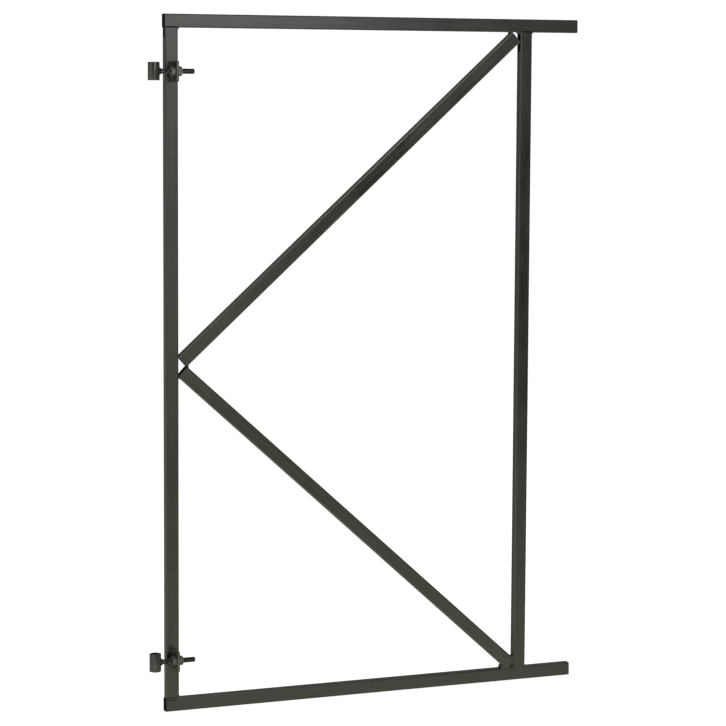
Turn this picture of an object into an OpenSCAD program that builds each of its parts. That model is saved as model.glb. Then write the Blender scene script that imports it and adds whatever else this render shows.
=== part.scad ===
// A gate leaf welded from rectangular steel tube: two stiles, two rails and a K of two braces.
// Two adjustable eye bolts, each held in a welded lug by a pair of nuts, hang it on upright pins.
// The origin is on the hinge axis, at the lower eye's lower face. X runs to the closing side,
// Y runs from the hinge hardware to the back of the leaf, and Z is up.

/* [Leaf] */
// Width of the steel leaf, from the hinge stile's outer side to the rails' far ends
leaf_width = 1000; // [700:5:1500]
// Height of the leaf
leaf_height = 1550; // [900:5:2200]
// Length of each rail past the closing stile
rail_overhang = 115; // [40:1:250]

/* [Tube] */
// Width of the tube's face
tube_face = 30; // [25:1:50]
// Depth of the tube, front to back
tube_depth = 20; // [16:1:50]
// Wall of the tube
tube_wall = 2; // [1.5:0.1:3]
// Outside radius of the tube's corners
tube_corner = 3; // [2.5:0.1:4]

/* [End caps] */
// Thickness of a cap's head, which stands proud of the rail's end
cap_head = 1.2; // [1:0.2:4]
// Length of a cap's plug inside the rail
cap_plug = 12; // [8:1:20]
// Wall of a cap's plug
cap_wall = 1.6; // [1:0.1:2]
// Gap between a cap's plug and the rail's inside
cap_clearance = 0.1; // [0.05:0.05:0.3]

/* [Hinge places] */
// Height of the lower rod's axis above the leaf's bottom
lower_rod_height = 120; // [80:1:300]
// Distance of the upper rod's axis below the leaf's top
upper_rod_drop = 125; // [80:1:300]
// Distance from the hinge axis to the hinge stile's outer side
hinge_gap = 32; // [25:1:60]
// Distance of the rods' axes in front of the leaf's front face
rod_standoff = 20; // [17:1:40]

/* [Eye bolts] */
// Bore of an eye, for a hinge pin 0.5 smaller
eye_bore = 16.5; // [12.5:0.5:20.5]
// Wall of an eye
eye_wall = 4.75; // [3:0.25:6]
// Height of an eye
eye_height = 40; // [25:1:60]
// Bevel on an eye's outer edges
eye_bevel = 0.8; // [0.2:0.1:2]
// Outer diameter of the rod's thread
rod_diameter = 12; // [10:1:16]
// Length of rod past the outer nut
rod_tail = 29; // [10:1:60]
// Bevel on the rod's free end
rod_bevel = 1.2; // [0.4:0.1:2]
// Length of the weld cone between the eye and the rod
eye_weld_length = 5; // [2:0.5:8]
// Height of the weld cone over the rod, at its foot on the eye
eye_weld_rise = 4; // [1:0.5:5]
// Height of the weld cone over the rod, at its thin end
eye_weld_edge = 0.5; // [0.2:0.1:1]

/* [Nuts] */
// Width of a nut across its flats
nut_flats = 19; // [17:1:26]
// Height of a nut
nut_height = 10; // [6:1:14]
// Gap all round between the rod and a nut's thread
thread_clearance = 0.05; // [0.02:0.01:0.1]
// Bevel of a nut's corners, along the nut
nut_bevel = 1.1; // [0.5:0.1:2]

/* [Lugs] */
// Thickness of a lug
lug_thickness = 5; // [4:1:10]
// Height of a lug
lug_height = 45; // [30:1:70]
// Distance from a rod's axis to its lug's free edge
lug_edge = 15; // [11:1:25]
// Radius of a lug's free corners
lug_corner = 2; // [1:0.5:8]
// Distance of a lug's middle from the stile's centre line, towards the closing side
lug_offset = 3.5; // [0:0.5:8]
// Gap all round between a rod and its lug's hole
lug_hole_clearance = 0.75; // [0.25:0.25:2]

/* [Welds] */
// Leg of a weld between a stile and a rail, or beside a lug
weld_leg = 4; // [2:0.5:8]
// Leg of a weld beside a brace's corner
brace_weld_leg = 9; // [4:0.5:15]
// Leg of the weld where the braces meet
junction_weld_leg = 5; // [3:0.5:10]

/* [Hidden] */
$fn = 64;
paint = [0.25, 0.25, 0.235];
weld_paint = [0.22, 0.22, 0.205];
hardware_paint = [0.19, 0.19, 0.18];
cap_plastic = [0.06, 0.06, 0.06];

// The leaf's planes
leaf_left = hinge_gap;
leaf_right = leaf_left + leaf_width;
leaf_front = rod_standoff;
leaf_middle_y = leaf_front + tube_depth / 2;
leaf_bottom = eye_height / 2 - lower_rod_height;
leaf_top = leaf_bottom + leaf_height;
leaf_middle_z = (leaf_bottom + leaf_top) / 2;

// The space that the braces fill
inner_left = leaf_left + tube_face;
inner_right = leaf_right - rail_overhang - tube_face;
inner_bottom = leaf_bottom + tube_face;
inner_top = leaf_top - tube_face;
closing_right = inner_right + tube_face;

// Each brace touches the four sides of half of that space with its four corners
brace_box = [inner_right - inner_left, inner_top - leaf_middle_z];
function brace_slope(turn, steps) = steps == 0 ? turn
    : brace_slope(atan2(brace_box[1] - tube_face * cos(turn), brace_box[0] - tube_face * sin(turn)),
                  steps - 1);
slope = brace_slope(45, 12);
brace_length = (brace_box[0] - tube_face * sin(slope)) / cos(slope);
corner_run = tube_face * sin(slope);
corner_rise = tube_face * cos(slope);

// The hinges, from the eye's axis to the rod's end
upper_rod_z = leaf_top - upper_rod_drop;
lower_rod_z = leaf_bottom + lower_rod_height;
eye_radius = eye_bore / 2 + eye_wall;
rod_radius = rod_diameter / 2;
lug_start = leaf_left + tube_face / 2 + lug_offset - lug_thickness / 2;
lug_end = lug_start + lug_thickness;
inner_nut_start = lug_start - nut_height;
outer_nut_start = lug_end;
rod_end = outer_nut_start + nut_height + rod_tail;
weld_run = tube_depth - 2 * tube_corner;

// Tube, as rolled: a rectangle with round corners outside and in

module rounded_rectangle(width, depth, radius) {
    square([width - 2 * radius, depth], center = true);
    square([width, depth - 2 * radius], center = true);
    for (x = [-1, 1], y = [-1, 1])
        translate([x * (width / 2 - radius), y * (depth / 2 - radius)])
            circle(radius);
}

module tube_bore(gap = 0) {
    rounded_rectangle(tube_face - 2 * (tube_wall + gap), tube_depth - 2 * (tube_wall + gap),
                      tube_corner - tube_wall);
}

module upright_tube(length) {
    linear_extrude(length)
        difference() {
            rounded_rectangle(tube_face, tube_depth, tube_corner);
            tube_bore();
        }
}

module level_tube(length) {
    rotate([0, 90, 0]) upright_tube(length);
}

// The leaf's six tubes

module stile(left) {
    color(paint)
        translate([left + tube_face / 2, leaf_middle_y, inner_bottom])
            upright_tube(inner_top - inner_bottom);
}

module rail(bottom) {
    color(paint)
        translate([leaf_left, leaf_middle_y, bottom + tube_face / 2])
            level_tube(leaf_width);
}

module brace(side) {
    color(paint)
        translate([(inner_left + inner_right) / 2, leaf_middle_y,
                   leaf_middle_z + side * brace_box[1] / 2])
            rotate([0, -side * slope, 0])
                translate([-brace_length / 2, 0, 0])
                    level_tube(brace_length);
}

// Plastic cap: a head over the rail's end, with a hollow plug inside the rail

module end_cap() {
    color(cap_plastic) rotate([0, 90, 0]) {
        linear_extrude(cap_head) rounded_rectangle(tube_face, tube_depth, tube_corner);
        translate([0, 0, -cap_plug])
            linear_extrude(cap_plug)
                difference() {
                    tube_bore(cap_clearance);
                    square([tube_face - 2 * (tube_wall + cap_clearance + cap_wall),
                            tube_depth - 2 * (tube_wall + cap_clearance + cap_wall)], center = true);
                }
    }
}

module cap_at(hinge_side, bottom) {
    translate([hinge_side ? leaf_left : leaf_right, leaf_middle_y, bottom + tube_face / 2])
        mirror([hinge_side ? 1 : 0, 0, 0])
            end_cap();
}

// Hinge hardware, each piece placed on its rod's axis

module along_rod(height, start) {
    translate([start, 0, height]) rotate([0, 90, 0]) children();
}

module lug(height) {
    color(paint)
        difference() {
            translate([lug_start, 0, height]) {
                translate([0, -lug_edge + lug_corner, -lug_height / 2])
                    cube([lug_thickness, lug_edge + rod_standoff - lug_corner, lug_height]);
                translate([0, -lug_edge, -lug_height / 2 + lug_corner])
                    cube([lug_thickness, lug_corner, lug_height - 2 * lug_corner]);
                for (side = [-1, 1])
                    translate([0, -lug_edge + lug_corner, side * (lug_height / 2 - lug_corner)])
                        rotate([0, 90, 0]) cylinder(lug_thickness, r = lug_corner);
            }
            along_rod(height, lug_start - 1)
                cylinder(lug_thickness + 2, r = rod_radius + lug_hole_clearance);
        }
}

module eye(height) {
    color(hardware_paint)
        translate([0, 0, height - eye_height / 2])
            rotate_extrude()
                polygon([[eye_bore / 2, 0], [eye_radius - eye_bevel, 0], [eye_radius, eye_bevel],
                         [eye_radius, eye_height - eye_bevel], [eye_radius - eye_bevel, eye_height],
                         [eye_bore / 2, eye_height]]);
}

module eye_body(height) {
    translate([0, 0, height - eye_height]) cylinder(2 * eye_height, r = eye_radius);
}

module rod(height) {
    color(hardware_paint)
        difference() {
            along_rod(height, 0) {
                cylinder(rod_end - rod_bevel, r = rod_radius);
                translate([0, 0, rod_end - rod_bevel])
                    cylinder(rod_bevel, r1 = rod_radius, r2 = rod_radius - rod_bevel);
            }
            eye_body(height);
        }
}

module eye_weld(height) {
    foot_radius = rod_radius + eye_weld_rise;
    cone_start = sqrt(eye_radius ^ 2 - foot_radius ^ 2);
    color(weld_paint)
        difference() {
            along_rod(height, cone_start)
                cylinder(eye_radius + eye_weld_length - cone_start, r1 = foot_radius,
                         r2 = rod_radius + eye_weld_edge);
            eye_body(height);
            along_rod(height, 0) cylinder(rod_end, r = rod_radius);
        }
}

module nut(height, start) {
    corner_radius = nut_flats / sqrt(3);
    flat_radius = nut_flats / 2;
    color(hardware_paint)
        along_rod(height, start)
            difference() {
                intersection() {
                    cylinder(nut_height, r = corner_radius, $fn = 6);
                    rotate_extrude()
                        polygon([[0, 0], [flat_radius, 0], [corner_radius, nut_bevel],
                                 [corner_radius, nut_height - nut_bevel],
                                 [flat_radius, nut_height], [0, nut_height]]);
                }
                translate([0, 0, -1]) cylinder(nut_height + 2, r = rod_radius + thread_clearance);
            }
}

// Welds: wedges that fill a corner between two directions, in the leaf's own plane

module weld_wedge(corner, from, to, leg) {
    color(weld_paint)
        translate([corner[0], leaf_middle_y, corner[1]])
            rotate([90, 0, 0])
                linear_extrude(weld_run, center = true)
                    polygon([[0, 0], leg * [cos(from), sin(from)], leg * [cos(to), sin(to)]]);
}

module lug_welds(height) {
    color(weld_paint)
        translate([0, leaf_front, height - lug_height / 2])
            linear_extrude(lug_height) {
                polygon([[lug_start, 0], [lug_start - weld_leg, 0], [lug_start, -weld_leg]]);
                polygon([[lug_end, 0], [lug_end + weld_leg, 0], [lug_end, -weld_leg]]);
            }
}

module hinge_stile_top_weld() {
    weld_wedge([inner_left, inner_top], 270, 360, weld_leg);
}

module hinge_stile_bottom_weld() {
    weld_wedge([inner_left, inner_bottom], 0, 90, weld_leg);
}

module closing_stile_top_welds() {
    weld_wedge([inner_right, inner_top], 180, 270, weld_leg);
    weld_wedge([closing_right, inner_top], 270, 360, weld_leg);
}

module closing_stile_bottom_weld() {
    weld_wedge([closing_right, inner_bottom], 0, 90, weld_leg);
}

module upper_brace_top_welds() {
    weld_wedge([inner_right - corner_run, inner_top], 180, 180 + slope, brace_weld_leg);
    weld_wedge([inner_right, inner_top - corner_rise], 180 + slope, 270, brace_weld_leg);
}

module lower_brace_bottom_welds() {
    weld_wedge([inner_right - corner_run, inner_bottom], 180 - slope, 180, brace_weld_leg);
    weld_wedge([inner_right, inner_bottom + corner_rise], 90, 180 - slope, brace_weld_leg);
}

// Weld metal that closes the notch between the lower brace's end, the bottom rail and the stile
module lower_brace_foot_fill() {
    color(weld_paint)
        translate([inner_right, leaf_middle_y, inner_bottom])
            rotate([90, 0, 0])
                linear_extrude(weld_run, center = true)
                    polygon([[0, 0], [0, corner_rise], [-corner_run, 0]]);
}

module brace_heel_welds() {
    weld_wedge([inner_left, leaf_middle_z + corner_rise], slope, 90, brace_weld_leg);
    weld_wedge([inner_left, leaf_middle_z - corner_rise], 270, 360 - slope, brace_weld_leg);
}

module brace_junction_weld() {
    weld_wedge([inner_left + corner_run, leaf_middle_z], -slope, slope, junction_weld_leg);
}

stile(leaf_left);  // hinge_stile
stile(inner_right);  // closing_stile
rail(inner_top);  // top_rail
rail(leaf_bottom);  // bottom_rail
brace(1);  // upper_brace
brace(-1);  // lower_brace
cap_at(true, inner_top);  // top_cap_hinge_side
cap_at(false, inner_top);  // top_cap_closing_side
cap_at(true, leaf_bottom);  // bottom_cap_hinge_side
cap_at(false, leaf_bottom);  // bottom_cap_closing_side
lug(upper_rod_z);  // upper_lug
lug(lower_rod_z);  // lower_lug
eye(upper_rod_z);  // upper_eye
eye(lower_rod_z);  // lower_eye
rod(upper_rod_z);  // upper_rod
rod(lower_rod_z);  // lower_rod
eye_weld(upper_rod_z);  // upper_eye_weld
eye_weld(lower_rod_z);  // lower_eye_weld
nut(upper_rod_z, inner_nut_start);  // upper_inner_nut
nut(upper_rod_z, outer_nut_start);  // upper_outer_nut
nut(lower_rod_z, inner_nut_start);  // lower_inner_nut
nut(lower_rod_z, outer_nut_start);  // lower_outer_nut
lug_welds(upper_rod_z);  // upper_lug_welds
lug_welds(lower_rod_z);  // lower_lug_welds
hinge_stile_top_weld();
hinge_stile_bottom_weld();
closing_stile_top_welds();
closing_stile_bottom_weld();
upper_brace_top_welds();
lower_brace_bottom_welds();
lower_brace_foot_fill();
brace_heel_welds();
brace_junction_weld();
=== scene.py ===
"""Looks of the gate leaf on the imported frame: painted tube, threads, nuts, eyes, lugs, caps and welds."""

import math

import bpy
from mathutils import Matrix, Vector, noise


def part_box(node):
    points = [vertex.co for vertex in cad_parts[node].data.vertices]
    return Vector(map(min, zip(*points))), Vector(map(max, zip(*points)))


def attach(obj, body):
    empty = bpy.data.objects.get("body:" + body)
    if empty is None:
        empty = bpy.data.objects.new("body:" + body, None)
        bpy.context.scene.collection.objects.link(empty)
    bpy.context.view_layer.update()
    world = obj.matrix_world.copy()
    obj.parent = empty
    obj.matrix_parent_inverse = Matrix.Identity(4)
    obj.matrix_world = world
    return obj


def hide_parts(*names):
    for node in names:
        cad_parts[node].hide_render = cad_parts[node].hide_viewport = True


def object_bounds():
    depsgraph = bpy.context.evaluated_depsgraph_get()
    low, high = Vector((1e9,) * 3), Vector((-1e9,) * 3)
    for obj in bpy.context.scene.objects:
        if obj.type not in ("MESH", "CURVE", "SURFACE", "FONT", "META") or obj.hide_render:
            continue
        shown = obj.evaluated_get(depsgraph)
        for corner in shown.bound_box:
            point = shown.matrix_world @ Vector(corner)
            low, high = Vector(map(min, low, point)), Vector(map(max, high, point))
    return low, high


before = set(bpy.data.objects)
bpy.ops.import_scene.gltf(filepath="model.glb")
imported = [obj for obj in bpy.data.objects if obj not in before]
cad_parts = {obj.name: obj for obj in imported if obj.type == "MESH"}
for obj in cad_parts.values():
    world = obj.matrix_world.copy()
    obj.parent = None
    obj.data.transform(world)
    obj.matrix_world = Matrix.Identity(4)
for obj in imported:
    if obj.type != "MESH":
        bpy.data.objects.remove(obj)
cad_low, cad_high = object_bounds()

MM = 0.001
X, Y, Z = Vector((1, 0, 0)), Vector((0, 1, 0)), Vector((0, 0, 1))

# ---------------------------------------------------------------- sizes that the boxes don't give
TUBE_CORNER = 3 * MM
EYE_BORE_RADIUS = 8.25 * MM
PIN_SIDE_BEVEL = 0.5 * MM
THREAD_PITCH = 1.75 * MM
THREAD_DEPTH = 0.613 * THREAD_PITCH
THREAD_RUNOUT = 6.5 * MM
NUT_BORE_RADIUS = 6.05 * MM
LUG_BORE_RADIUS = 6.75 * MM
LUG_CORNER = 2 * MM
CAP_HEAD = 1.2 * MM
ROD_IN_EYE = 1.5 * MM
ROD_BEVEL = 1.6 * MM
SMOOTH_WELD = 60  # degrees: a weld's edges are shaded smooth up to this angle

# ---------------------------------------------------------------- camera, first
EYE = Vector((-1.564, -5.145, 1.3))
YAW, PITCH, ROLL = 0.3801, 0.0955, -0.0054
LENS = 122
SHIFT_DOWN = 0.06


def make_camera():
    """A long lens at the height of the upper hinge, left of the leaf, looking a little down."""
    forward = Vector((math.sin(YAW) * math.cos(PITCH),
                      math.cos(YAW) * math.cos(PITCH),
                      -math.sin(PITCH)))
    level_right = Vector((math.cos(YAW), -math.sin(YAW), 0))
    level_down = forward.cross(level_right)
    right = level_right * math.cos(ROLL) + level_down * math.sin(ROLL)
    down = level_down * math.cos(ROLL) - level_right * math.sin(ROLL)
    data = bpy.data.cameras.new("camera")
    data.lens = LENS
    data.shift_y = -SHIFT_DOWN
    camera = bpy.data.objects.new("camera", data)
    turn = Matrix((right, -down, -forward)).transposed()
    camera.matrix_world = Matrix.Translation(EYE) @ turn.to_4x4()
    bpy.context.scene.collection.objects.link(camera)
    bpy.context.scene.camera = camera


make_camera()


# ---------------------------------------------------------------- mesh building
class Shape:
    """Vertices and faces of one piece, gathered from one or more closed lofts."""

    def __init__(self):
        self.points = []
        self.faces = []

    def loft(self, loops, ring=False):
        """Joins equal loops of points in turn.

        A ring joins its last loop to its first. Otherwise both ends are closed.
        """
        start, count = len(self.points), len(loops[0])
        for loop in loops:
            self.points += [tuple(p) for p in loop]
        for i in range(len(loops) if ring else len(loops) - 1):
            a, b = start + i * count, start + (i + 1) % len(loops) * count
            for k in range(count):
                n = (k + 1) % count
                self.faces.append((a + k, a + n, b + n, b + k))
        if not ring:
            last = start + (len(loops) - 1) * count
            self.faces.append(tuple(range(start, start + count))[::-1])
            self.faces.append(tuple(range(last, last + count)))
        return self

    def build(self, name, sharp=35):
        """The finished object, with normals outwards and edges sharp past an angle in degrees."""
        mesh = bpy.data.meshes.new(name)
        mesh.from_pydata(self.points, [], self.faces)
        mesh.validate()
        obj = bpy.data.objects.new(name, mesh)
        bpy.context.scene.collection.objects.link(obj)
        bpy.context.view_layer.objects.active = obj
        obj.select_set(True)
        bpy.ops.object.mode_set(mode="EDIT")
        bpy.ops.mesh.select_all(action="SELECT")
        bpy.ops.mesh.normals_make_consistent(inside=False)
        bpy.ops.object.mode_set(mode="OBJECT")
        obj.select_set(False)
        mesh.shade_smooth()
        mesh.set_sharp_from_angle(angle=math.radians(sharp))
        return obj


def fit_out(obj, body, slot, material, *nodes):
    """Gives a piece its body and material, and hides the CAD nodes that it stands for. The slot is not used.
    """
    obj.data.materials.append(material)
    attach(obj, body)
    if nodes:
        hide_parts(*nodes)


def angles(count):
    """Equal steps round a full turn."""
    return [2 * math.pi * k / count for k in range(count)]


def rounded_outline(width, height, radius, steps=6):
    """Points round a rectangle with round corners, anticlockwise."""
    points = []
    for quarter, (sx, sy) in enumerate(((1, 1), (-1, 1), (-1, -1), (1, -1))):
        for k in range(steps + 1):
            a = (quarter + k / steps) * math.pi / 2
            points.append((sx * (width / 2 - radius) + radius * math.cos(a),
                           sy * (height / 2 - radius) + radius * math.sin(a)))
    return points


def drilled(shape, outline, bore, thickness, place, edge, bore_edge):
    """A plate with a round hole.

    The outline is points round the hole's axis, and edge(radius) gives the (inset, drop) of its bevel.
    """
    rings = [[] for _ in range(8)]
    for u, v in outline:
        radius = math.hypot(u, v)
        inset, drop = edge(radius)
        section = [(bore, bore_edge), (bore + bore_edge, 0), (radius - inset, 0), (radius, drop),
                   (radius, thickness - drop), (radius - inset, thickness),
                   (bore + bore_edge, thickness), (bore, thickness - bore_edge)]
        for ring, (r, h) in zip(rings, section):
            ring.append(place(u * r / radius, v * r / radius, h))
    shape.loft(rings, ring=True)
    return shape


def corner_flare(depth):
    """How far a tube's round edge has drawn back from its side, at a depth behind its face."""
    return TUBE_CORNER - math.sqrt(TUBE_CORNER ** 2 - max(0, TUBE_CORNER - depth) ** 2)


def bead(shape, middle, along, side_a, side_b, leg, run, ripples, seed=0, flush=False, bulge=0.12):
    """A rippled fillet weld in the corner between two directions, run along a third.

    Its ends are thin and round. A flush bead was ground off level with the tubes' faces instead, and fills
    the grooves that the tubes' round edges leave.
    """
    open_angle = side_a.angle(side_b)
    middle_way = (side_a + side_b).normalized()
    sink = 0.4 * MM
    arc_points = 7
    steps = ripples * 6
    end = 0.22
    thin = 0.4
    loops = []
    for i in range(steps + 1):
        t = i / steps
        taper = 1 if flush else min(1, min(t, 1 - t) / end)
        wobble = noise.noise(Vector((t * ripples * 0.7, seed * 3.7, 0.5)))
        size = leg * (thin + (1 - thin) * math.sqrt(1 - (1 - taper) ** 2))
        size *= 1 + 0.07 * abs(math.sin(math.pi * ripples * t)) + 0.1 * wobble
        flare = corner_flare(min(t, 1 - t) * run + 0.2 * MM) if flush else 0
        centre = middle + along * run * (t - 0.5)
        loop = [centre - middle_way * (sink + 1.5 * flare)]
        for k in range(arc_points):
            s = k / (arc_points - 1)
            way = side_a * math.sin((1 - s) * open_angle) + side_b * math.sin(s * open_angle)
            way = way / math.sin(open_angle)
            off_middle = abs(s - 0.5) * open_angle
            chord = math.cos(open_angle / 2) / math.cos(off_middle)
            swell = bulge * math.sin(math.pi * s)
            point = centre + way * size * (chord + swell)
            outwards = side_a - middle_way if s < 0.5 else side_b - middle_way
            point += outwards.normalized() * flare * abs(2 * s - 1)
            loop.append(point + along * size * (0 if flush else swell))
        loops.append(loop)
    shape.loft(loops)
    return shape


# ---------------------------------------------------------------- materials
class NodeTree:
    """Short helpers to build a node tree."""

    def __init__(self, tree):
        self.tree = tree

    def node(self, kind, **settings):
        made = self.tree.nodes.new(kind)
        for key, value in settings.items():
            setattr(made, key, value)
        return made

    def link(self, source, target):
        self.tree.links.new(source, target)

    def mix(self, factor, a, b):
        """Blends two colours, each a tuple or another node's output."""
        made = self.node("ShaderNodeMix", data_type="RGBA")
        self.link(factor, made.inputs["Factor"])
        for value, socket in ((a, made.inputs[6]), (b, made.inputs[7])):
            if isinstance(value, tuple):
                socket.default_value = (*value, 1)
            else:
                self.link(value, socket)
        return made.outputs[2]


class Paint(NodeTree):
    """A Principled material."""

    def __init__(self, name, **values):
        self.material = bpy.data.materials.new(name)
        self.material.use_nodes = True
        super().__init__(self.material.node_tree)
        self.shader = self.tree.nodes["Principled BSDF"]
        for key, value in values.items():
            self.shader.inputs[key.replace("_", " ")].default_value = value

    def place(self, turn=0.0, stretch=(1, 1, 1)):
        """Coordinates turned about Y so that a tube's length lies along X, then stretched."""
        coordinates = self.node("ShaderNodeTexCoord")
        turned = self.node("ShaderNodeMapping")
        turned.inputs["Rotation"].default_value = (0, turn, 0)
        self.link(coordinates.outputs["Object"], turned.inputs["Vector"])
        stretched = self.node("ShaderNodeMapping")
        stretched.inputs["Scale"].default_value = stretch
        self.link(turned.outputs["Vector"], stretched.inputs["Vector"])
        return stretched.outputs["Vector"]

    def noise(self, vector, scale, detail=3.0, roughness=0.5):
        made = self.node("ShaderNodeTexNoise")
        made.inputs["Scale"].default_value = scale
        made.inputs["Detail"].default_value = detail
        made.inputs["Roughness"].default_value = roughness
        self.link(vector, made.inputs["Vector"])
        return made.outputs["Fac"]

    def range(self, value, low, high, to_low=0.0, to_high=1.0):
        made = self.node("ShaderNodeMapRange")
        limits = (("From Min", low), ("From Max", high), ("To Min", to_low), ("To Max", to_high))
        for key, number in limits:
            made.inputs[key].default_value = number
        self.link(value, made.inputs["Value"])
        return made.outputs["Result"]

    def maths(self, operation, a, b):
        made = self.node("ShaderNodeMath", operation=operation)
        for value, socket in ((a, made.inputs[0]), (b, made.inputs[1])):
            if isinstance(value, (int, float)):
                socket.default_value = value
            else:
                self.link(value, socket)
        return made.outputs["Value"]

    def bump(self, height, distance, strength=1.0):
        made = self.node("ShaderNodeBump")
        made.inputs["Strength"].default_value = strength
        made.inputs["Distance"].default_value = distance
        self.link(height, made.inputs["Height"])
        self.link(made.outputs["Normal"], self.shader.inputs["Normal"])

    def corner_mask(self, turn):
        """1 along a tube's round corners and 0 on its flats, from the way the surface faces."""
        geometry = self.node("ShaderNodeNewGeometry")
        turned = self.node("ShaderNodeMapping", vector_type="VECTOR")
        turned.inputs["Rotation"].default_value = (0, turn, 0)
        self.link(geometry.outputs["Normal"], turned.inputs["Vector"])
        split = self.node("ShaderNodeSeparateXYZ")
        self.link(turned.outputs["Vector"], split.inputs["Vector"])
        product = self.maths("MULTIPLY", split.outputs["Y"], split.outputs["Z"])
        return self.range(self.maths("ABSOLUTE", product, 0.0), 0.12, 0.45)

    def finish(self, colour, roughness):
        self.link(colour, self.shader.inputs["Base Color"])
        self.link(roughness, self.shader.inputs["Roughness"])
        return self.material


UPRIGHT = math.pi / 2
GRINDING = 0.7
PAINT_IOR = 1.48
PAINT_DARK = (0.004, 0.0042, 0.0022)
PAINT_LIGHT = (0.018, 0.0184, 0.0128)
# colour of the painted highlight lines along a tube
STREAK_HIGHLIGHT = (0.042, 0.0425, 0.034)
RUBBED_EDGE = (0.16, 0.162, 0.14)


def painted_tube(name, turn, shade=1.0, wear=0.3):
    """Thin satin black paint on rolled steel: streaks along it, cloudy patches, rubbed corners, painted
    highlight lines.
    """
    paint = Paint(name, IOR=PAINT_IOR)

    def shaded(colour):
        return tuple(part * shade for part in colour)

    streaks = paint.noise(paint.place(turn, (2.2, 240, 240)), 1.0, 4.0, 0.6)
    highlight_lines = paint.noise(paint.place(turn, (7, 1100, 1100)), 1.0, 2.0)
    clouds = paint.noise(paint.place(turn, (1, 1.6, 1.6)), 9.0, 4.0, 0.6)
    grain = paint.noise(paint.place(), 900.0, 2.0)
    tone = paint.maths("ADD", paint.maths("MULTIPLY", streaks, 0.5), paint.maths("MULTIPLY", clouds, 0.5))
    colour = paint.mix(paint.range(tone, 0.34, 0.66), shaded(PAINT_DARK), shaded(PAINT_LIGHT))
    # painted highlight: thin light streaks along the tube, in the base colour
    colour = paint.mix(paint.range(highlight_lines, 0.55, 0.72, 0.0, 0.7), colour, shaded(STREAK_HIGHLIGHT))
    rubbed = paint.maths("MULTIPLY", paint.corner_mask(turn), paint.range(streaks, 0.35, 0.65, 0.35, 1.0))
    colour = paint.mix(paint.maths("MULTIPLY", rubbed, wear), colour, shaded(RUBBED_EDGE))
    streaky_sheen = paint.range(streaks, 0.3, 0.7, 0.19, 0.27)
    sheen = paint.maths("ADD", streaky_sheen, paint.range(clouds, 0.3, 0.7, -0.04, 0.05))
    height = paint.maths("ADD", streaks, paint.maths("MULTIPLY", grain, 0.25))
    paint.bump(height, 0.12 * MM, 0.5)
    return paint.finish(colour, sheen)


def painted_weld():
    """The same paint over a rough bead."""
    paint = Paint("painted_weld", IOR=PAINT_IOR)
    spatter = paint.noise(paint.place(), 420.0, 4.0, 0.6)
    patches = paint.noise(paint.place(), 90.0, 2.0)
    colour = paint.mix(paint.range(patches, 0.35, 0.65), (0.012, 0.0125, 0.0095), (0.034, 0.035, 0.027))
    colour = paint.mix(paint.range(spatter, 0.6, 0.75, 0.0, 0.6), colour, (0.075, 0.075, 0.066))
    paint.bump(spatter, 0.35 * MM, 0.7)
    return paint.finish(colour, paint.range(patches, 0.3, 0.7, 0.3, 0.48))


def dark_steel(name, dark, light, scale):
    """Blackened steel of the bolts and nuts, with rubbed brighter patches."""
    paint = Paint(name, Metallic=0.3, IOR=1.5)
    wear = paint.noise(paint.place(), scale, 5.0, 0.62)
    fine = paint.noise(paint.place(), scale * 6, 2.0)
    colour = paint.mix(paint.range(wear, 0.42, 0.68), dark, light)
    paint.bump(fine, 0.06 * MM, 0.5)
    return paint.finish(colour, paint.range(wear, 0.35, 0.65, 0.46, 0.3))


def cap_plastic():
    """Matt black plastic with a fine moulded grain."""
    paint = Paint("cap_plastic", IOR=1.46, Specular_IOR_Level=0.03)
    grain = paint.noise(paint.place(), 1400.0, 2.0)
    dust = paint.noise(paint.place(), 60.0, 4.0, 0.6)
    colour = paint.mix(paint.range(dust, 0.45, 0.75), (0.003, 0.003, 0.003), (0.009, 0.009, 0.0085))
    paint.bump(grain, 0.05 * MM, 0.5)
    return paint.finish(colour, paint.range(dust, 0.3, 0.7, 0.5, 0.68))


def painted_shade_black():
    """Dull near-black laid as painted shade in seams, grooves and under the top rail."""
    paint = Paint("painted_shade_black", IOR=1.4, Specular_IOR_Level=0.1)
    lumps = paint.noise(paint.place(), 350.0, 3.0)
    colour = paint.mix(lumps, (0.0015, 0.0015, 0.0012), (0.006, 0.006, 0.005))
    paint.bump(lumps, 0.2 * MM, 0.5)
    return paint.finish(colour, paint.range(lumps, 0.3, 0.7, 0.6, 0.8))


SLOPE_ROUNDS = 12


def brace_slope(low, high, face):
    """The angle of a square-cut tube that touches all four sides of its box, by rounds of correction."""
    width, height = high.x - low.x, high.z - low.z
    slope = math.atan2(height, width)
    for _ in range(SLOPE_ROUNDS):
        slope = math.atan2(height - face * math.cos(slope), width - face * math.sin(slope))
    return slope


# ---------------------------------------------------------------- the leaf's places, from the frame
stile_low, stile_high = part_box("hinge_stile")
closing_low, closing_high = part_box("closing_stile")
inner_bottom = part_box("bottom_rail")[1].z
inner_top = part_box("top_rail")[0].z
brace_low, brace_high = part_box("upper_brace")
tube_face = stile_high.x - stile_low.x
tube_depth = stile_high.y - stile_low.y
middle_y = (stile_low.y + stile_high.y) / 2
middle_z = (stile_low.z + stile_high.z) / 2
SLOPE = brace_slope(brace_low, brace_high, tube_face)

WELD = painted_weld()
PLASTIC = cap_plastic()
HARDWARE = dark_steel("rod_steel", (0.02, 0.02, 0.018), (0.11, 0.11, 0.1), 260.0)
NUT_STEEL = dark_steel("nut_steel", (0.045, 0.045, 0.038), (0.17, 0.17, 0.15), 210.0)


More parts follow.
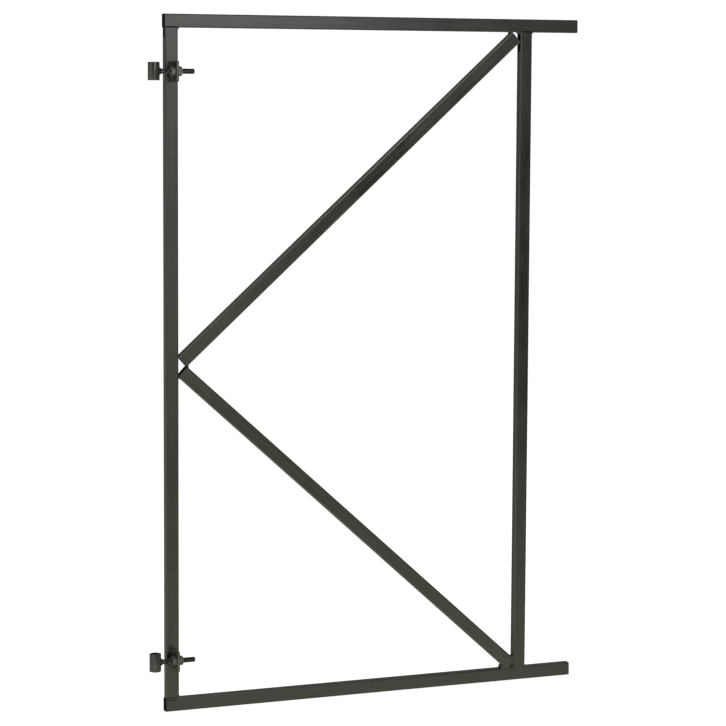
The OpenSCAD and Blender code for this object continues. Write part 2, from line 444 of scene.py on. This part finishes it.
def dress_tubes():
    """Each carried-over tube gets paint that runs along it."""
    level = painted_tube("paint_level", 0.0)
    upright = painted_tube("paint_upright", UPRIGHT)
    # the braces get the tube paint made 1.25 and 1.4 times lighter: painted light on the braces
    rising = painted_tube("paint_rising_lit", SLOPE, shade=1.25, wear=0.7)
    falling = painted_tube("paint_falling_lit", -SLOPE, shade=1.4, wear=0.5)
    paints = {"hinge_stile": upright, "closing_stile": upright, "top_rail": level, "bottom_rail": level,
              "upper_brace": rising, "lower_brace": falling}
    for node, material in paints.items():
        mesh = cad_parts[node].data
        mesh.materials.clear()
        mesh.materials.append(material)


dress_tubes()
EYE_PAINT = painted_tube("paint_eye", UPRIGHT, shade=1.1)
# the lug's paint is the tube paint made 3.8 times lighter: painted light on the lug's faces
LUG_PAINT_LIT = painted_tube("paint_lug_painted_light", UPRIGHT, shade=3.8)
# painted shade: the dark material of the strips laid where shade falls
PAINTED_SHADE = painted_shade_black()
FOOT_PAINT = painted_tube("paint_ground_weld", GRINDING, shade=1.6)
# the dressed seams get the paint made 3.2 times lighter: a painted highlight along each bead
SEAM_HIGHLIGHT_PAINT = painted_tube("paint_dressed_seam_highlight", 0.0, shade=3.2)


# ---------------------------------------------------------------- hinge hardware
def thread_radius(x, angle, outer):
    """Radius of a right-hand ISO thread at a place along X and an angle about it."""
    phase = (x / THREAD_PITCH - angle / (2 * math.pi)) % 1
    from_crest = min(phase, 1 - phase)
    share = min(1, max(0, (from_crest - 1 / 16) / (5 / 16)))
    return outer - THREAD_DEPTH * share


def make_rod(side):
    """The eye bolt's rod: a plain neck welded to the eye, then thread to its bevelled end."""
    low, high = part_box(f"{side}_rod")
    eye_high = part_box(f"{side}_eye")[1]
    outer, height = (high.z - low.z) / 2, (low.z + high.z) / 2
    start, end = eye_high.x - ROD_IN_EYE, high.x
    thread_from = eye_high.x + THREAD_RUNOUT
    ring_gap = THREAD_PITCH / 8
    neck = outer - THREAD_DEPTH * 0.45
    rings = math.ceil((end - start) / ring_gap)
    loops = []
    for i in range(rings + 1):
        x = start + (end - start) * i / rings
        blend = min(1, max(0, (x - thread_from) / (1.5 * THREAD_PITCH)))
        limit = outer - max(0, x - (end - ROD_BEVEL))
        loop = []
        for a in angles(40):
            radius = neck * (1 - blend) + thread_radius(x, a, outer) * blend
            radius = min(radius, limit)
            loop.append((x, radius * math.cos(a), height + radius * math.sin(a)))
        loops.append(loop)
    rod = Shape().loft(loops).build(f"{side}_threaded_rod", 50)
    fit_out(rod, f"{side}_eye_bolt", "hinge_hardware", HARDWARE, f"{side}_rod")


def make_eye(side):
    """The ring that turns on the post's pin, with its edges eased."""
    low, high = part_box(f"{side}_eye")
    radius, height = (high.x - low.x) / 2, high.z - low.z
    ease = 0.9 * MM
    bore_side = EYE_BORE_RADIUS + PIN_SIDE_BEVEL
    corners = ((radius - ease, ease, ease, -90),
               (radius - ease, height - ease, ease, 0),
               (bore_side, height - PIN_SIDE_BEVEL, PIN_SIDE_BEVEL, 90),
               (bore_side, PIN_SIDE_BEVEL, PIN_SIDE_BEVEL, 180))
    section = []
    for r, z, size, first in corners:
        for k in range(5):
            a = math.radians(first + 90 * k / 4)
            section.append((r + size * math.cos(a), z + size * math.sin(a)))
    loops = [[(r * math.cos(a), r * math.sin(a), low.z + z) for r, z in section] for a in angles(72)]
    eye = Shape().loft(loops, ring=True).build(f"{side}_hinge_eye", 40)
    fit_out(eye, f"{side}_eye_bolt", "hinge_hardware", EYE_PAINT, f"{side}_eye")


def make_eye_weld(side):
    """A hollow, finely rippled fillet round the rod where it meets the eye's curved side."""
    low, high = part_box(f"{side}_rod")
    eye_low, eye_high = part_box(f"{side}_eye")
    height = (low.z + high.z) / 2
    eye_radius, rod_radius = (eye_high.x - eye_low.x) / 2, (high.z - low.z) / 2
    hollow = 0.65
    loops = []
    for a in angles(120):
        uneven = noise.noise(Vector((math.cos(a), math.sin(a), height * 9)))
        ripple = 1 + 0.05 * abs(math.sin(a * 15)) + 0.12 * uneven
        rise, reach = 4.1 * MM * ripple, 4.4 * MM * ripple

        def eye_side(from_axis):
            return math.sqrt(eye_radius ** 2 - (from_axis * math.cos(a)) ** 2)

        section = [(eye_side(rod_radius) - 0.8 * MM, rod_radius - 0.5 * MM)]
        start, end = eye_side(rod_radius + rise) - 0.1 * MM, eye_side(rod_radius) + reach
        for k in range(9):
            t = math.pi / 2 * k / 8
            hollow_x, hollow_r = 1 - math.cos(t), 1 - math.sin(t)
            flat_x, flat_r = k / 8, 1 - k / 8
            section.append((start + (end - start) * (hollow_x * hollow + flat_x * (1 - hollow)),
                            rod_radius - 0.05 * MM + rise * (hollow_r * hollow + flat_r * (1 - hollow))))
        section.append((end - 0.5 * MM, rod_radius - 0.5 * MM))
        loops.append([(x, r * math.cos(a), height + r * math.sin(a)) for x, r in section])
    weld = Shape().loft(loops, ring=True).build(f"{side}_eye_bead", SMOOTH_WELD)
    fit_out(weld, f"{side}_eye_bolt", "painted_weld", WELD, f"{side}_eye_weld")


def make_nut(side, place):
    """A hexagon nut with chamfered corners and countersunk thread mouths, flats to the front."""
    name = f"{side}_{place}_nut"
    low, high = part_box(name)
    flat, height = (high.y - low.y) / 2, (low.z + high.z) / 2
    washer_face = flat * 0.97
    sixth = math.pi / 3
    outline = []
    for a in angles(96):
        radius = flat / math.cos((a + sixth / 2) % sixth - sixth / 2)
        outline.append((radius * math.cos(a), radius * math.sin(a)))

    def chamfer(radius):
        return radius - washer_face, (radius - washer_face) * math.tan(math.radians(30))

    def place_point(u, v, h):
        return (low.x + h, u, height + v)

    nut = drilled(Shape(), outline, NUT_BORE_RADIUS, high.x - low.x, place_point, chamfer, 0.7 * MM)
    fit_out(nut.build(f"{name}_chamfered", 20), name, "hinge_hardware", NUT_STEEL, name)


def make_lug(side):
    """The plate that holds the eye bolt, standing on the front of the hinge stile."""
    low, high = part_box(f"{side}_lug")
    height = (low.z + high.z) / 2
    width, centre = high.y - low.y, (low.y + high.y) / 2
    outline = [(u + centre, v) for u, v in rounded_outline(width, high.z - low.z, LUG_CORNER)]
    ease = 0.35 * MM
    lug = drilled(Shape(), outline, LUG_BORE_RADIUS, high.x - low.x,
                  lambda u, v, h: (low.x + h, u, height + v), lambda radius: (ease, ease), ease)
    fit_out(lug.build(f"{side}_lug_plate"), "leaf", "painted_tube", LUG_PAINT_LIT, f"{side}_lug")


def make_lug_welds(side):
    """A bead up each side of the lug, on the hinge stile."""
    low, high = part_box(f"{side}_lug_welds")
    lug_low, lug_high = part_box(f"{side}_lug")
    leg, run, height = high.y - low.y, high.z - low.z, (low.z + high.z) / 2
    shape = Shape()
    for seed, (x, outwards) in enumerate(((lug_low.x, -X), (lug_high.x, X))):
        bead(shape, Vector((x, high.y, height)), Z, -Y, outwards, leg, run, 13, seed)
    fit_out(shape.build(f"{side}_lug_beads", SMOOTH_WELD), "leaf", "painted_weld", WELD, f"{side}_lug_welds")


for side in ("upper", "lower"):
    make_rod(side)
    make_eye(side)
    make_eye_weld(side)
    make_lug(side)
    make_lug_welds(side)
    for place in ("inner", "outer"):
        make_nut(side, place)


# ---------------------------------------------------------------- end caps
def make_cap(node, outwards):
    """A pressed-in cap: a head with eased edges, and a plug with two sealing ribs inside the rail."""
    low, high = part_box(node)
    face = high.x if outwards > 0 else low.x
    height = (low.z + high.z) / 2
    plug = (high.x - low.x) - CAP_HEAD
    wall, rib, slant = 2.5 * MM, 0.35 * MM, 1 * MM
    levels = [(-plug, wall + slant), (-plug + slant, wall)]
    for k in range(1, 3):
        rib_at = -plug * (1 - k / 3)
        levels += [(rib_at - slant, wall), (rib_at, wall - rib), (rib_at + slant, wall)]
    under_head, seat = -0.3 * MM, 0.25 * MM
    levels += [(under_head, wall), (under_head, seat), (0, 0)]
    ease, top = 0.7 * MM, CAP_HEAD
    levels += [(top - ease + ease * math.sin(a), ease - ease * math.cos(a))
               for a in (math.radians(22.5 * k) for k in range(5))]
    levels += [(top, 2.4 * MM), (top - 0.15 * MM, 2.9 * MM)]
    loops = []
    for out, inset in levels:
        corner = max(0.4 * MM, TUBE_CORNER - inset)
        outline = rounded_outline(tube_depth - 2 * inset, tube_face - 2 * inset, corner)
        x = face + outwards * (out - top)
        loops.append([(x, middle_y + u, height + v) for u, v in outline])
    cap = Shape().loft(loops).build(f"{node}_moulded", 40)
    fit_out(cap, "leaf", "cap_plastic", PLASTIC, node)


for rail in ("top", "bottom"):
    make_cap(f"{rail}_cap_hinge_side", -1)
    make_cap(f"{rail}_cap_closing_side", 1)


# ---------------------------------------------------------------- welds of the leaf
def in_plane(degrees):
    """A direction in the leaf's own plane, from +X towards +Z."""
    return Vector((math.cos(math.radians(degrees)), 0, math.sin(math.radians(degrees))))


inner_left, inner_right = stile_high.x, closing_low.x
closing_right = closing_high.x
corner_run, corner_rise = tube_face * math.sin(SLOPE), tube_face * math.cos(SLOPE)
slope_degrees = math.degrees(SLOPE)
weld_run = tube_depth - TUBE_CORNER
TEE_LEG, GROUND_LEG, BRACE_LEG, FOOT_LEG, JUNCTION_LEG = 4.2 * MM, 5.2 * MM, 5 * MM, 10.5 * MM, 5 * MM
GROUND_FLUSH = ("lower_brace_bottom_welds", "hinge_stile_bottom_weld", "closing_stile_bottom_weld")

# node: wedges as (x, z, first direction, second direction, leg)
WEDGES = {
    "hinge_stile_top_weld": [(inner_left, inner_top, 270, 360, TEE_LEG)],
    "closing_stile_top_welds": [(inner_right, inner_top, 180, 270, TEE_LEG),
                                (closing_right, inner_top, 270, 360, TEE_LEG)],
    "hinge_stile_bottom_weld": [(inner_left, inner_bottom, 0, 90, GROUND_LEG)],
    "closing_stile_bottom_weld": [(closing_right, inner_bottom, 0, 90, GROUND_LEG)],
    "upper_brace_top_welds": [
        (inner_right - corner_run, inner_top, 180, 180 + slope_degrees, BRACE_LEG),
        (inner_right, inner_top - corner_rise, 180 + slope_degrees, 270, BRACE_LEG)],
    "lower_brace_bottom_welds": [
        (inner_right - corner_run, inner_bottom, 180 - slope_degrees, 180, FOOT_LEG),
        (inner_right, inner_bottom + corner_rise, 90, 180 - slope_degrees, TEE_LEG)],
    "brace_heel_welds": [
        (inner_left, middle_z + corner_rise, slope_degrees, 90, BRACE_LEG),
        (inner_left, middle_z - corner_rise, 270, 360 - slope_degrees, BRACE_LEG)],
    "brace_junction_weld": [
        (inner_left + corner_run, middle_z, -slope_degrees, slope_degrees, JUNCTION_LEG)],
}


FLUSH_RUN = tube_depth - 0.3 * MM
BEAD_RIPPLES = 5


def make_wedge_beads():
    """A bead in every open corner between two tubes."""
    for number, (node, wedges) in enumerate(WEDGES.items()):
        shape = Shape()
        flush = node in GROUND_FLUSH
        run = FLUSH_RUN if flush else weld_run
        for k, (x, z, first, second, leg) in enumerate(wedges):
            bead(shape, Vector((x, middle_y, z)), Y, in_plane(first), in_plane(second), leg, run,
                 BEAD_RIPPLES, number * 2 + k, flush)
        material = FOOT_PAINT if flush else WELD
        fit_out(shape.build(f"{node}_bead", SMOOTH_WELD), "leaf", "painted_weld", material, node)


def three_sides(points, per_side=10):
    """Points in equal steps along the sides of a triangle."""
    return [points[i].lerp(points[(i + 1) % 3], k / per_side) for i in range(3) for k in range(per_side)]


# rings of a dressed face: (how far out from its centre, depth in mm, share of the full unevenness)
PIT_RINGS = ((1.0, 0.25, 0), (0.93, 0.02, 0.3), (0.8, -0.08, 1), (0.65, -0.05, 1),
             (0.52, 0.1, 1), (0.42, 1.0, 0), (0.3, 3.2, 0), (0.12, 4.5, 0))


def dressed_face(outline, centre, y, out, pitted):
    """Loops from a weld's outline in to its centre: a face dressed level, with a pit left in it if asked."""
    loops = []
    for share, depth, rough in PIT_RINGS:
        if not pitted:
            depth = min(depth, 0)
        loop = []
        for p in outline:
            q = centre.lerp(p, share)
            uneven = 0.18 * noise.noise(q * 260) * rough
            loop.append((q.x, y - out * (depth + uneven) * MM, q.z))
        loops.append(loop)
    return loops


def dressed_fill(name, inner, outer, centre, pitted, *nodes):
    """Weld metal through the tubes' depth inside the inner corners, with level faces to the outer ones."""
    narrow, wide = three_sides(inner), three_sides(outer)
    face = dressed_face(wide, centre, stile_low.y, -1, pitted)
    back = dressed_face(wide, centre, stile_high.y, 1, False)
    core = [[(p.x, y, p.z) for p in narrow] for y in (stile_low.y + TUBE_CORNER, stile_high.y - TUBE_CORNER)]
    fill = Shape().loft(face[::-1] + core + back).build(name, SMOOTH_WELD)
    fit_out(fill, "leaf", "painted_weld", FOOT_PAINT, *nodes)


def moved(point, x, z):
    """A point moved in the leaf's own plane, in mm."""
    return point + Vector((x, 0, z)) * MM


def make_foot_fill():
    """The notch and toe at the lower brace's foot, filled and ground level, with one pit left."""
    corner = Vector((inner_right, 0, inner_bottom))
    above = Vector((inner_right, 0, inner_bottom + corner_rise))
    heel = Vector((inner_right - corner_run, 0, inner_bottom))
    notch_face = [moved(corner, 0.2, -2.7), moved(above, 0.2, 1.2), moved(heel, -1.2, -2.7)]
    pit = moved(corner, -3.0, 3.6)
    dressed_fill("lower_brace_foot_weld", [corner, above, heel], notch_face, pit, True,
                 "lower_brace_foot_fill")
    toe = [heel, moved(heel, -7.6, 6.8), moved(heel, -8.8, 0)]
    toe_face = [moved(heel, 2.2, 0), moved(heel, -6.5, 8.4), moved(heel, -8.8, -2.7)]
    dressed_fill("lower_brace_toe_weld", toe, toe_face, moved(heel, -5, 2), False)


BACK_SHARE = 0.35  # how far a seam stands out on the back, as a share of the front


def seam_strip(shape, low, high, z, up, section, seed, inset=1.2 * MM):
    """Runs a section, in mm, along the groove over a rail's round edge, front and back, across a stile.

    Each point of the section says how far it stands out of the tubes' faces, and how far into the rail it is
    from the stile's end. z is where that end meets the rail, and up is -1 where the rail is below the stile.
    """
    for side, (y, out) in enumerate(((low.y, -1), (high.y, 1))):
        loops = []
        for k in range(41):
            t = k / 40
            x = low.x + inset + (high.x - low.x - 2 * inset) * t
            fade = min(1, 8 * t, 8 * (1 - t)) * (1 if out < 0 else BACK_SHARE)
            wave = 0.25 * noise.noise(Vector((x * 350, side * 9 + seed, 0)))
            step = 0.08 * abs(math.sin(k * 1.3))
            loop = []
            for stand, over in section:
                height = stand * (fade if stand > 0 else 1) + step
                loop.append((x, y + out * height * MM, z + up * (over + wave) * MM))
            loops.append(loop)
        shape.loft(loops)
    return shape


def arch(stand, sunk, low, high):
    """A round-topped section for seam_strip."""
    points = [(sunk, low), (sunk, high)]
    for k in range(7):
        a = math.pi * k / 6
        points.append((sunk * 0.3 + (stand - sunk * 0.3) * math.sin(a),
                       (low + high) / 2 + (high - low) / 2 * math.cos(a)))
    return points


def paint_film(low, high):
    """A flat section for seam_strip, a little proud of the tubes' faces."""
    sunk, proud = -2.8, 0.07
    return (sunk, high), (proud, high), (proud, low), (sunk, low)


# a stile's name and box, how far the painted shade spreads past its weld, and how proud the weld is, in mm
SEAMS = (("hinge", stile_low, stile_high, 1.8, 1.0), ("closing", closing_low, closing_high, 0.2, 0.4))


def make_seams():
    """Dressed welds at the bottom rail in a lighter copy of the paint, a painted highlight, with painted
    shade beside them and in the seams under the top rail.
    """
    for seed, (name, low, high, reach, crown) in enumerate(SEAMS):
        # painted highlight: the dressed weld drawn in a lighter copy of the paint
        dressed = seam_strip(Shape(), low, high, inner_bottom, -1, arch(crown, -2.5, 0.1, 2.9), seed)
        fit_out(dressed.build(f"{name}_stile_dressed_seam", SMOOTH_WELD), "leaf", "painted_weld", SEAM_HIGHLIGHT_PAINT)
        # painted shade: a dark film above and below the dressed weld
        around = seam_strip(Shape(), low, high, inner_bottom, -1, paint_film(-reach, 2.7 + reach), seed + 2)
        fit_out(around.build(f"{name}_stile_lower_seam_painted_shade", SMOOTH_WELD), "leaf", "painted_weld", PAINTED_SHADE)
        # painted shade: a dark strip in the groove under the top rail
        upper_seam_shade = seam_strip(Shape(), low, high, inner_top, 1, paint_film(-0.3, 2.5), seed + 4, 2.6 * MM)
        fit_out(upper_seam_shade.build(f"{name}_stile_upper_seam_painted_shade", SMOOTH_WELD), "leaf", "painted_weld", PAINTED_SHADE)


# a stile's name, where its hinge-side face is, and how far down that the painted shadow reaches
SHADOW_REACH = (("hinge", stile_low.x, 22 * MM), ("closing", closing_low.x, 46 * MM))


def make_painted_rail_shadow():
    """A thin black film on the stiles' hinge-side faces, just under the top rail: the rail's painted shadow.
    """
    rows, half = 24, tube_depth / 2 - TUBE_CORNER
    thick, sunk = 0.12 * MM, 0.3 * MM
    for seed, (name, side_x, reach) in enumerate(SHADOW_REACH):
        loops = []
        for k in range(rows + 1):
            y = middle_y - half + 2 * half * k / rows
            length = reach * (1 + 0.3 * noise.noise(Vector((y * 130, seed * 5, 0))))
            face = [(side_x + sunk, inner_top), (side_x - thick, inner_top),
                    (side_x - thick, inner_top - length * 0.9),
                    (side_x + 0.02 * MM, inner_top - length), (side_x + sunk, inner_top - length)]
            loops.append([(x, y, z) for x, z in face])
        # painted shadow: a black film where the top rail's shadow falls
        scale = Shape().loft(loops).build(f"{name}_stile_painted_rail_shadow", SMOOTH_WELD)
        fit_out(scale, "leaf", "painted_weld", PAINTED_SHADE)


def make_foot_groove():
    """A dark strip in the groove left between the ground foot and the closing stile's round edge: painted
    shade.
    """
    middle_x, middle_depth = inner_right + 0.7 * MM, stile_low.y + 1.3 * MM
    steps = 16
    loops = []
    for k in range(steps + 1):
        t = k / steps
        z = inner_bottom + 2.5 * MM + (corner_rise - 4 * MM) * t
        radius = 1.15 * MM * math.sin(math.pi * min(1, 0.08 + 0.92 * t)) ** 0.3
        radius *= 1 + 0.2 * math.sin(k * 1.9)
        loops.append([(middle_x + radius * math.cos(a), middle_depth + radius * math.sin(a), z)
                      for a in angles(10)])
    # painted shade: a near-black strip lying in the groove
    groove = Shape().loft(loops).build("lower_brace_foot_groove", SMOOTH_WELD)
    fit_out(groove, "leaf", "painted_weld", PAINTED_SHADE)


make_wedge_beads()
make_foot_fill()
make_seams()
make_painted_rail_shadow()
make_foot_groove()


# ---------------------------------------------------------------- studio
FLOOR_RADIUS = 5
FLOOR_THICKNESS = 0.02
LIGHT_WALL = -5.4  # y of the panels in front
WHITE = (1, 1, 1)
CREAM = (1.0, 1.0, 0.82)
DIM = (0.05, 0.05, 0.05)
FLOOR_GLOW = (1.7, 1.7, 1.4)
# name, place, target, width, height, radiance, colour
LIGHTS = (
    ("key", (1.1, LIGHT_WALL, 2.45), (1.1, 0, 2.45), 3.2, 2.1, 4.2, WHITE),
    ("key_edge", (3.45, LIGHT_WALL, 1.9), (3.45, 0, 1.9), 1.5, 1.5, 0.65, WHITE),
    ("fill", (0.4, LIGHT_WALL, 0.45), (0.4, 0, 0.45), 3.8, 1.1, 1.4, CREAM),
    ("overhead", (0.2, 0.0, 5.5), (0.2, 0.2, 0), 8, 8, 0.5, WHITE),
    ("side", (4.6, 2.6, 1.4), (0.6, 0, 0.7), 2, 2.6, 1.5, WHITE),
)


def make_floor():
    """A plain pale floor under the bottom rail. Reflections see the world's own floor glow instead of it."""
    centre_x = (cad_low.x + cad_high.x) / 2
    rim = [(centre_x + FLOOR_RADIUS * math.cos(a), FLOOR_RADIUS * math.sin(a)) for a in angles(96)]
    levels = (cad_low.z - FLOOR_THICKNESS, cad_low.z)
    floor = Shape().loft([[(x, y, z) for x, y in rim] for z in levels]).build("floor")
    paint = Paint("floor", IOR=1.3)
    mottle = paint.noise(paint.place(), 3.0, 3.0)
    colour = paint.mix(mottle, (0.8, 0.8, 0.74), (0.84, 0.84, 0.78))
    paint.shader.inputs["Emission Color"].default_value = (1, 1, 0.97, 1)
    paint.shader.inputs["Emission Strength"].default_value = 0.8
    floor.data.materials.append(paint.finish(colour, paint.range(mottle, 0, 1, 0.8, 0.95)))
    floor.visible_glossy = False


def area_light(name, place, target, width, height, radiance, colour):
    """A soft panel of a given brightness, whatever its size."""
    data = bpy.data.lights.new(name, "AREA")
    data.shape, data.size, data.size_y = "RECTANGLE", width, height
    data.energy, data.color = radiance * math.pi * width * height, colour
    light = bpy.data.objects.new(name, data)
    light.location = place
    light.rotation_mode = "QUATERNION"
    light.rotation_quaternion = (Vector(target) - Vector(place)).to_track_quat("-Z", "Y")
    light.visible_camera = False
    bpy.context.scene.collection.objects.link(light)


class WorldTree(NodeTree):
    """The world's node tree."""

    def __init__(self, world):
        world.use_nodes = True
        super().__init__(world.node_tree)
        self.background = self.tree.nodes["Background"]

    def step(self, value, low, high):
        """0 below one value and 1 above another, with a smooth change between them."""
        made = self.node("ShaderNodeMapRange", interpolation_type="SMOOTHSTEP")
        made.inputs["From Min"].default_value = low
        made.inputs["From Max"].default_value = high
        self.link(value, made.inputs["Value"])
        return made.outputs["Result"]


def make_world():
    """White all round for the camera. As light it is a dim room with a glowing floor in front."""
    world = bpy.data.worlds.new("studio")
    bpy.context.scene.world = world
    room = WorldTree(world)
    coordinates = room.node("ShaderNodeTexCoord")
    split = room.node("ShaderNodeSeparateXYZ")
    room.link(coordinates.outputs["Generated"], split.inputs["Vector"])
    above = split.outputs["Z"]
    glow = room.mix(room.step(above, -0.62, -0.42), DIM, FLOOR_GLOW)
    ahead = room.mix(room.step(above, -0.235, -0.105), glow, DIM)
    front = room.mix(room.step(split.outputs["X"], 0.5, 0.75), ahead, DIM)
    back = room.mix(room.step(above, -0.2, 0.1), (0.4, 0.4, 0.36), (0.22, 0.22, 0.21))
    around = room.mix(room.step(split.outputs["Y"], -0.25, 0.25), front, back)
    light = room.mix(room.step(split.outputs["X"], -0.85, -0.6), (0.75, 0.75, 0.7), around)
    rays = room.node("ShaderNodeLightPath")
    seen = room.mix(rays.outputs["Is Camera Ray"], light, (1.05, 1.05, 1.05))
    room.link(seen, room.background.inputs["Color"])


def make_studio():
    make_floor()
    make_world()
    for light in LIGHTS:
        area_light(*light)
    bpy.context.scene.view_settings.view_transform = "Standard"


make_studio()
